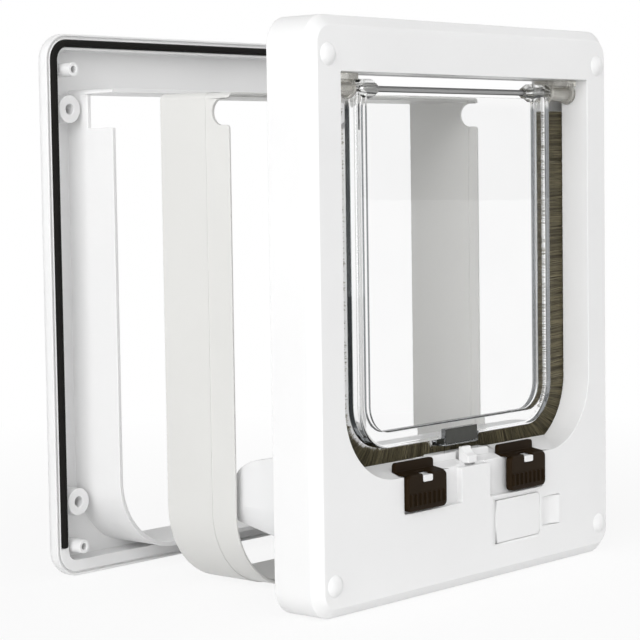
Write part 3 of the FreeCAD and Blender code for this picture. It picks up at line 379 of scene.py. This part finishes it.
def rounded(name, fine_mm, wide_mm=0.0, is_wide=None, steps=3, sharp=30, cuts=(), plain=None):
    """Replaces a CAD piece by one with rounds on its edges sharper than `sharp` degrees.

    Edges take fine_mm, or wide_mm where is_wide says so, or nothing where plain says so. Both
    get the middle of the edge in millimetres. Cuts are places in X, in Y and in Z, in millimetres.
    """
    source = frame["nodes"][name]
    work = bmesh.new()
    work.from_mesh(source.data)
    bmesh.ops.remove_doubles(work, verts=work.verts, dist=same_point)
    for axis, places in zip(((1, 0, 0), (0, 1, 0), (0, 0, 1)), cuts):
        for place in places:
            everything = work.verts[:] + work.edges[:] + work.faces[:]
            cut = bmesh.ops.bisect_plane(work, geom=everything, plane_no=axis,
                                         plane_co=Vector(axis) * place * MM, dist=same_point)
            for item in cut["geom_cut"]:
                if isinstance(item, bmesh.types.BMEdge):
                    item.seam = True
    bmesh.ops.dissolve_limit(work, angle_limit=math.radians(flat_degrees), verts=work.verts,
                             edges=work.edges, delimit={"SEAM"})
    weight = work.edges.layers.float.new("bevel_weight_edge")
    widest = max(fine_mm, wide_mm)
    for edge in work.edges:
        if len(edge.link_faces) == 2 and edge.calc_face_angle(0) > math.radians(sharp):
            middle = (edge.verts[0].co + edge.verts[1].co) / (2 * MM)
            if not (plain and plain(middle)):
                width = wide_mm if is_wide and is_wide(middle) else fine_mm
                edge[weight] = width / widest
    mesh = bpy.data.meshes.new(name + "_rounded")
    work.to_mesh(mesh)
    work.free()
    mesh.shade_smooth()
    mesh.materials.append(finishes[slot_of[name]])
    piece = bpy.data.objects.new(name + "_rounded", mesh)
    bpy.context.scene.collection.objects.link(piece)
    bevel = piece.modifiers.new("round", "BEVEL")
    bevel.limit_method = "WEIGHT"
    bevel.width = widest * MM
    bevel.segments = steps
    bevel.use_clamp_overlap = False
    bevel.harden_normals = True
    piece.modifiers.new("flat faces", "WEIGHTED_NORMAL").keep_sharp = True
    baked(piece, name + "_rounded")
    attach(piece, body_of_node[name])
    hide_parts(name)
    print(name, "faces", len(piece.data.polygons))
    return piece


print("corners nearer than", same_point, "m are joined")

# %% Which edges are wide and which stay sharp
on_outline, on_face = 0.5, 0.3            # how near an edge has to lie, in millimetres
front_depth, front_step = 4.4, 5.0        # just over the inner frame's bevel
back_depth, back_step = 8.7, 9.0          # just over the outer frame's bevel
frame_low, frame_high = (Vector(corner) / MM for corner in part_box("front_frame"))
outer_low, outer_high = (Vector(corner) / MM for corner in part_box("outer_frame"))


def inset(place, low, high, corner=12.0):
    """How far a place lies inside the rounded outline of a frame, in millimetres."""
    across = abs(place.x) - (high.x - corner)
    along = abs(place.z - (low.z + high.z) / 2) - ((high.z - low.z) / 2 - corner)
    outside = math.hypot(max(across, 0), max(along, 0))
    return corner - outside - min(max(across, along), 0)


def front_rim(place):
    """The two long edges of the inner frame's bevel."""
    inside = inset(place, frame_low, frame_high)
    behind_face = place.y - frame_low.y
    return ((inside < on_outline and behind_face < front_depth)
            or (inside < front_step and behind_face < on_face))


def back_rim(place):
    """The two long edges of the outer frame's bevel."""
    inside = inset(place, outer_low, outer_high)
    before_back = outer_high.y - place.y
    return ((inside < on_outline and before_back < back_depth)
            or (inside < back_step and before_back < on_face))


everywhere = (-math.inf, math.inf)
thin_strips = {              # from and to in X, in Y and in Z, in millimetres
    "beside the guide": ((-21, 21), (-69.3, -68.9), everywhere),
    "over the door": (everywhere, (-80.91, -80.79), (35.0, 35.3)),
    "round the catch": ((49, 62.2), (-81.41, -81.29), (18, 33)),
    "round the door": ((13, 48.5), (-math.inf, -81), (15, 36)),
    "under the sill": ((-60, 60), (-82, math.inf), (50.54, 50.66)),
}
door_middle = (30, 25.3)     # X and Z


def thin_strip(place):
    """Strips of the inner frame too narrow to take a round on both sides."""
    return any(all(low < value < high for value, (low, high) in zip(place, strip))
               for strip in thin_strips.values())


def flap_eye(place):
    """The flap's eyes and the ends of its rim beside them."""
    return abs(place.x) > 61 and place.z > 206


def door_pin(place):
    """The two small pins on which the battery door turns."""
    return place.x < 16 and abs(place.z - door_middle[1]) > 9.3


print("narrow strips", len(thin_strips))

# %% Round the mouldings
hinge_y, hinge_z = -71.85, 215.3
socket_middle = 82

# The rim's planes go through the screw holes, the bosses and the middle of a frame. The sill's go
# through its pockets, the door and the catch.
rim_x = (-94.7, -92, 0, 92, 94.7)
rim_z = (14, 33.5, 122, 210.6, 228)
sill_x = (-61.8, -36.3, -26.5, -10.6, 10.6, 26.5, 36.3, 47.9, 55.9, 61.8)
sill_z = (25.3, 40.7, 45.2, 60.3, 183.8)
web_z = (22.3, 50.6, 63.4, 90, 150, 180, 220.5)
cover_x, cover_z = (-49.3, -16.2, 16.2, 49.3), (39.2, 54.4, 60)

rounded("front_frame", 0.3, 2.0, front_rim, steps=4, plain=thin_strip,
        cuts=(rim_x + sill_x, (-75,), rim_z + sill_z))
rounded("outer_frame", 0.3, 2.0, back_rim, steps=4, cuts=(rim_x + (-60, 60), (), rim_z + web_z))
rounded("tunnel_sleeve", 0.35, cuts=((-50, 0, 50), (-17,), (60, 130, 197)))
rounded("back_cover", 0.3, cuts=(rim_x + cover_x, (), rim_z + cover_z))
rounded("sensor_housing", 0.5)
rounded("flap_panel", 0.3, cuts=((-62, -56, 0, 56, 62), (hinge_y,), (hinge_z, 148.3)),
        plain=flap_eye)
for side, sign in (("left", -1), ("right", 1)):
    rounded("lock_slider_" + side, 0.2)
    rounded("slider_peg_" + side, 0.25)
    rounded("hinge_socket_" + side, 0.2, cuts=((socket_middle * sign,), (hinge_y,), (hinge_z,)))
rounded("latch_tongue", 0.4)
rounded("latch_guide", 0.3)
rounded("battery_cover", 0.25, cuts=((door_middle[0],), (), (door_middle[1],)), plain=door_pin)
rounded("weather_seal", 1.2, steps=4)

# %% [markdown]
# ## The brush
#
# Three strips of brush close the gap round the flap: two that run down the sides and round the
# corners, and one below. A real strip is thousands of nylon bristles set in a channel. They follow
# a path and repeat, so a Geometry Nodes tree makes them: it spreads points along the root line,
# sets one thin bristle on each and points it at the matching place beside the flap. Both lines are
# rounded U shapes, and every point of the root line carries its tip as an attribute.

# %% Root and tip lines of the brush
def u_line(half, low, corner, top, steps=28):
    """A U with rounded lower corners, from the left top round to the right top, in millimetres."""
    turn = [math.radians(90 * step / steps) for step in range(steps + 1)]
    left = [(-half + corner - corner * math.cos(a), low + corner - corner * math.sin(a))
            for a in turn]
    side = [(-half, top + (low + corner - top) * step / steps) for step in range(steps)]
    below = [(-half + corner + (half - corner) * step / steps, low) for step in range(1, steps + 1)]
    first = side + left + below
    return first + [(-x, z) for x, z in reversed(first[:-1])]


pile_low, pile_high = (Vector(corner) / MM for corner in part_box("brush_pile_left"))
pile_top = pile_high.z - 0.4
root_corner = 33.6                                 # where the channel turns
tip_half, tip_low, tip_corner = 69.2, 63.9, 19.7   # beside the flap's rim
pocket_half, pocket_tip = 12.7, 60.6               # lower under the magnet's pocket
root_line = u_line(-pile_low.x, pile_low.z, root_corner, pile_top)
tip_line = u_line(tip_half, tip_low, tip_corner, pile_top)
tip_line = [(x, min(z, pocket_tip) if abs(x) < pocket_half else z) for x, z in tip_line]
brush_thickness = pile_high.y - pile_low.y
brush_middle = pile_low.y + brush_thickness / 2

line = bpy.data.meshes.new("brush_line")
line.from_pydata([(x * MM, brush_middle * MM, z * MM) for x, z in root_line],
                 [(i, i + 1) for i in range(len(root_line) - 1)], [])
tips = line.attributes.new("tip", "FLOAT_VECTOR", "POINT")
tips.data.foreach_set("vector", [c * MM for x, z in tip_line for c in (x, brush_middle, z)])
print("brush line", len(root_line), "points")

# %% A tree that grows bristles
def socket(tree, name, kind, value):
    """Adds a named input to the tree."""
    made = tree.interface.new_socket(name, in_out="INPUT", socket_type=kind)
    made.default_value = value
    return made.identifier


def random_value(tree, low, high, seed, vector=False):
    """A random number, or a random vector, between two ends."""
    node = add(tree, "FunctionNodeRandomValue",
               data_type="FLOAT_VECTOR" if vector else "FLOAT")
    start = 0 if vector else 2
    node.inputs[start].default_value = low
    node.inputs[start + 1].default_value = high
    node.inputs["Seed"].default_value = seed
    return node.outputs[0 if vector else 1]


def vector_math(tree, operation, *sources):
    """A Vector Math node. A source is an output or a plain tuple."""
    node = add(tree, "ShaderNodeVectorMath", operation=operation)
    for index, source in enumerate(sources):
        if isinstance(source, tuple):
            node.inputs[index].default_value = source
        else:
            tree.links.new(source, node.inputs[index])
    return node.outputs["Value" if operation in ("LENGTH", "DOT_PRODUCT") else "Vector"]


def number_math(tree, operation, first, second):
    """A Math node. A source is an output or a plain number."""
    node = add(tree, "ShaderNodeMath", operation=operation)
    for index, source in enumerate((first, second)):
        if isinstance(source, (int, float)):
            node.inputs[index].default_value = source
        else:
            tree.links.new(source, node.inputs[index])
    return node.outputs[0]


bristle_count, bristle_radius, bristle_lean = 7600, 0.17 * MM, 2.2 * MM
strip_thickness = (brush_thickness - 0.5) * MM
tufts_per_metre = 420.0
shortest, longest = 0.70, 0.80       # of the way to the tip, before the tufts add to it
tuft_length, full_reach = 0.5, 0.99
tuft_contrast = 1.6

bristles = bpy.data.node_groups.new("bristles", "GeometryNodeTree")
bristles.interface.new_socket("Geometry", in_out="INPUT", socket_type="NodeSocketGeometry")
bristles.interface.new_socket("Geometry", in_out="OUTPUT", socket_type="NodeSocketGeometry")
count_id = socket(bristles, "Bristle count", "NodeSocketInt", bristle_count)
radius_id = socket(bristles, "Bristle radius", "NodeSocketFloat", bristle_radius)
depth_id = socket(bristles, "Brush thickness", "NodeSocketFloat", strip_thickness)
lean_id = socket(bristles, "Lean", "NodeSocketFloat", bristle_lean)
group_in = bristles.nodes.new("NodeGroupInput")
group_out = bristles.nodes.new("NodeGroupOutput")

curve = add(bristles, "GeometryNodeMeshToCurve", [("Mesh", group_in.outputs["Geometry"])])
spread = add(bristles, "GeometryNodeResampleCurve", [
    ("Curve", curve.outputs[0]), ("Count", group_in.outputs["Bristle count"])])
tip = add(bristles, "GeometryNodeInputNamedAttribute", data_type="FLOAT_VECTOR",
          Name="tip").outputs[0]
place = bristles.nodes.new("GeometryNodeInputPosition").outputs[0]

tuft = add(bristles, "ShaderNodeTexNoise", [("Vector", place)], Scale=tufts_per_metre,
           Detail=2.0)
tuft_lean = vector_math(bristles, "SUBTRACT", tuft.outputs["Color"], (0.5, 0.5, 0.5))
own_lean = random_value(bristles, (-0.35, -0.2, -0.35), (0.35, 0.2, 0.35), 23, True)
lean = vector_math(bristles, "SCALE", vector_math(bristles, "ADD", tuft_lean, own_lean))
bristles.links.new(group_in.outputs["Lean"], lean.node.inputs["Scale"])
whole = vector_math(bristles, "ADD", vector_math(bristles, "SUBTRACT", tip, place), lean)
longer = number_math(bristles, "MULTIPLY", tuft.outputs["Fac"], tuft_length)
ragged = number_math(bristles, "ADD", longer, random_value(bristles, shortest, longest, 37))
reach = vector_math(bristles, "SCALE", whole)
bristles.links.new(number_math(bristles, "MINIMUM", ragged, full_reach),
                   reach.node.inputs["Scale"])
kept = add(bristles, "GeometryNodeStoreNamedAttribute", [
    ("Geometry", spread.outputs[0]), ("Value", reach)], data_type="FLOAT_VECTOR", domain="POINT",
    Name="reach")
own_depth = random_value(bristles, (0, -0.5, 0), (0, 0.5, 0), 11, True)
offset = vector_math(bristles, "SCALE", own_depth)
bristles.links.new(group_in.outputs["Brush thickness"], offset.node.inputs["Scale"])
moved = add(bristles, "GeometryNodeSetPosition", [("Geometry", kept.outputs[0]),
                                                  ("Offset", offset)])

kept_reach = add(bristles, "GeometryNodeInputNamedAttribute", data_type="FLOAT_VECTOR",
                 Name="reach").outputs[0]
turn = add(bristles, "FunctionNodeAlignRotationToVector", [("Vector", kept_reach)], axis="Z")
size = add(bristles, "ShaderNodeCombineXYZ", [
    ("X", group_in.outputs["Bristle radius"]), ("Y", group_in.outputs["Bristle radius"]),
    ("Z", vector_math(bristles, "LENGTH", kept_reach))])
cone = add(bristles, "GeometryNodeMeshCone", Vertices=3, Side_Segments=2, Radius_Top=0.45,
           Radius_Bottom=1.0, Depth=1.0)
stand = add(bristles, "GeometryNodeTransform", [("Geometry", cone.outputs["Mesh"])])
grown = add(bristles, "GeometryNodeInstanceOnPoints", [
    ("Points", moved.outputs[0]), ("Instance", stand.outputs[0]),
    ("Rotation", turn.outputs[0]), ("Scale", size.outputs[0])])
tuft_tone = number_math(bristles, "MULTIPLY",
                        number_math(bristles, "SUBTRACT", tuft.outputs["Fac"], 0.5),
                        tuft_contrast)
own_tone = random_value(bristles, 0.0, 1.0, 51)
tone = number_math(bristles, "ADD", own_tone, tuft_tone)
toned = add(bristles, "GeometryNodeStoreNamedAttribute", [("Geometry", grown.outputs[0]),
                                                          ("Value", tone)],
            data_type="FLOAT", domain="INSTANCE", Name="bristle_tone")
solid = add(bristles, "GeometryNodeRealizeInstances", [("Geometry", toned.outputs[0])])
painted = add(bristles, "GeometryNodeSetMaterial", [("Geometry", solid.outputs[0])],
              Material=finishes["pile_brown"])
bristles.links.new(painted.outputs[0], group_out.inputs["Geometry"])
print("tree", bristles.name, len(bristles.nodes), "nodes")

# %% Grow the brush
brush = bpy.data.objects.new("brush_bristles", line)
bpy.context.scene.collection.objects.link(brush)
grow = brush.modifiers.new("grow", "NODES")
grow.node_group = bristles
grow[count_id] = bristle_count
grow[radius_id] = bristle_radius
grow[depth_id] = strip_thickness
grow[lean_id] = bristle_lean
baked(brush, "brush_bristles")
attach(brush, "housing")
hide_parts("brush_pile_left", "brush_pile_right", "brush_pile_bottom")
print("bristles", len(brush.data.polygons), "faces")

# %% [markdown]
# Light would still find a way between single bristles, which it doesn't in a dense brush. A thin
# sheet in the middle of the strip stands for the bristles that nobody can see one by one and stops
# that light. Its colour is the darkest bristle tone, a painted shade of the dense middle.

# %% The dense middle of the brush
core_reach, core_half = 0.9, 0.5       # share of the way to the tip, half the thickness in mm
core = bmesh.new()
rows = []
for (root_x, root_z), (tip_x, tip_z) in zip(root_line, tip_line):
    ends = [(root_x, root_z),
            (root_x + core_reach * (tip_x - root_x), root_z + core_reach * (tip_z - root_z))]
    rows.append([core.verts.new((x * MM, (brush_middle + side) * MM, z * MM))
                 for side in (-core_half, core_half)
                 for x, z in (ends if side < 0 else ends[::-1])])
for before, after in zip(rows, rows[1:]):
    for i in range(4):
        core.faces.new((before[i], before[(i + 1) % 4], after[(i + 1) % 4], after[i]))
core.faces.new(rows[0])
core.faces.new(rows[-1])
bmesh.ops.recalc_face_normals(core, faces=core.faces)
core_mesh = bpy.data.meshes.new("brush_core")
core.to_mesh(core_mesh)
core.free()
# Every tone stays 0, the darkest bristle tone, as painted shade.
core_mesh.attributes.new("bristle_tone", "FLOAT", "POINT")
core_mesh.materials.append(finishes["pile_brown"])
brush_core = bpy.data.objects.new("brush_core", core_mesh)
bpy.context.scene.collection.objects.link(brush_core)
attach(brush_core, "housing")
print("core", len(core_mesh.polygons), "faces")

# %% [markdown]
# ## Floor, world and lamps
#
# A product photograph of this kind has large soft lamps and a floor that runs out to white. The
# camera sees white everywhere, and so do rays that go straight through the clear flap. The light
# that falls on the object comes more from the camera's side than from behind, which leaves the
# inside of the sleeve in a soft shade. Mirror rays see white behind the object and a darker room
# on the camera's side, and that is what keeps the brown sliders brown.

# %% World
lamps_side = (-0.30, -0.95, 0.10)


def side_share(tree, low, high, start, end):
    """A value by direction: from `low` behind the object to `high` on the lamps' side."""
    place = tree.nodes.new("ShaderNodeTexCoord").outputs["Generated"]
    facing = add(tree, "ShaderNodeVectorMath", [(0, place)], operation="DOT_PRODUCT")
    facing.inputs[1].default_value = lamps_side
    return between(tree, facing.outputs["Value"], low, high, start, end)


def seen_by(tree, default, cases):
    """Mixes shaders by ray: each case is (Light Path outputs, shader)."""
    ray = tree.nodes.new("ShaderNodeLightPath")
    result = default
    for names, other in cases:
        hit = ray.outputs[names[0]]
        for name in names[1:]:
            hit = add(tree, "ShaderNodeMath", [(0, hit), (1, ray.outputs[name])],
                      operation="MAXIMUM").outputs[0]
        result = add(tree, "ShaderNodeMixShader", [(0, hit), (1, result), (2, other)]).outputs[0]
    return result


world = bpy.data.worlds.new("studio")
bpy.context.scene.world = world
bpy.context.scene.view_settings.view_transform = "Standard"
world.use_nodes = True
sky = world.node_tree
soft_light = side_share(sky, 0.20, 0.93, -0.2, 1.0)
ambient = add(sky, "ShaderNodeBackground", [("Strength", soft_light)])
room = side_share(sky, 1.0, 0.35, -0.5, 0.3)
mirrored = add(sky, "ShaderNodeBackground", [("Strength", room)])
white = add(sky, "ShaderNodeBackground", Color=(1, 1, 1, 1), Strength=1.0)
for light in (ambient, mirrored):
    light.inputs["Color"].default_value = (1, 1, 1, 1)
sky.links.new(seen_by(sky, ambient.outputs[0],
                      [(["Is Glossy Ray"], mirrored.outputs[0]),
                       (["Is Camera Ray", "Is Transmission Ray"], white.outputs[0])]),
              sky.nodes["World Output"].inputs["Surface"])
print("world", world.name)

# %% Floor
floor_size, floor_gap = 16, 0.0004
bpy.ops.mesh.primitive_plane_add(size=floor_size, location=(0, 0, -floor_gap))
floor = bpy.context.object
floor.name = "floor"
paper, tree, shader, places = new_finish("floor_paper")
shader.inputs["Base Color"].default_value = (0.9, 0.9, 0.9, 1)
shader.inputs["Roughness"].default_value = 0.9
glow = add(tree, "ShaderNodeEmission", Color=(1, 1, 1, 1), Strength=1.0)
length = add(tree, "ShaderNodeVectorMath", [(0, places)], operation="LENGTH")
far = between(tree, length.outputs["Value"], 0.88, 1.0, 0.2, 0.6)
share = add(tree, "ShaderNodeMixShader", [(0, far), (1, shader.outputs["BSDF"]),
                                          (2, glow.outputs[0])])
tree.links.new(seen_by(tree, shader.outputs["BSDF"],
                       [(["Is Camera Ray", "Is Glossy Ray", "Is Transmission Ray"],
                         share.outputs[0])]),
               tree.nodes["Material Output"].inputs["Surface"])
floor.data.materials.append(paper)
print("floor", floor_size, "m wide")

# %% Lamps
def softbox(name, place, target, size, watts):
    """A soft lamp of the given width and height that faces its target."""
    lamp = bpy.data.lights.new(name, "AREA")
    lamp.shape = "RECTANGLE"
    lamp.size, lamp.size_y = size
    lamp.energy = watts
    holder = bpy.data.objects.new(name, lamp)
    holder.location = place
    holder.rotation_euler = (Vector(target) - Vector(place)).to_track_quat("-Z", "Y").to_euler()
    bpy.context.scene.collection.objects.link(holder)
    return holder


middle = (0.0, 0.0, 0.12)
lamps = [
    softbox("key", (-2.0, -0.6, 1.0), middle, (1.4, 1.4), 29),
    softbox("low", (-1.6, -1.4, 0.2), middle, (1.2, 0.4), 5.5),
    softbox("right", (2.0, -1.0, 1.0), middle, (1.4, 1.4), 10),
]
print("lamps", len(lamps))
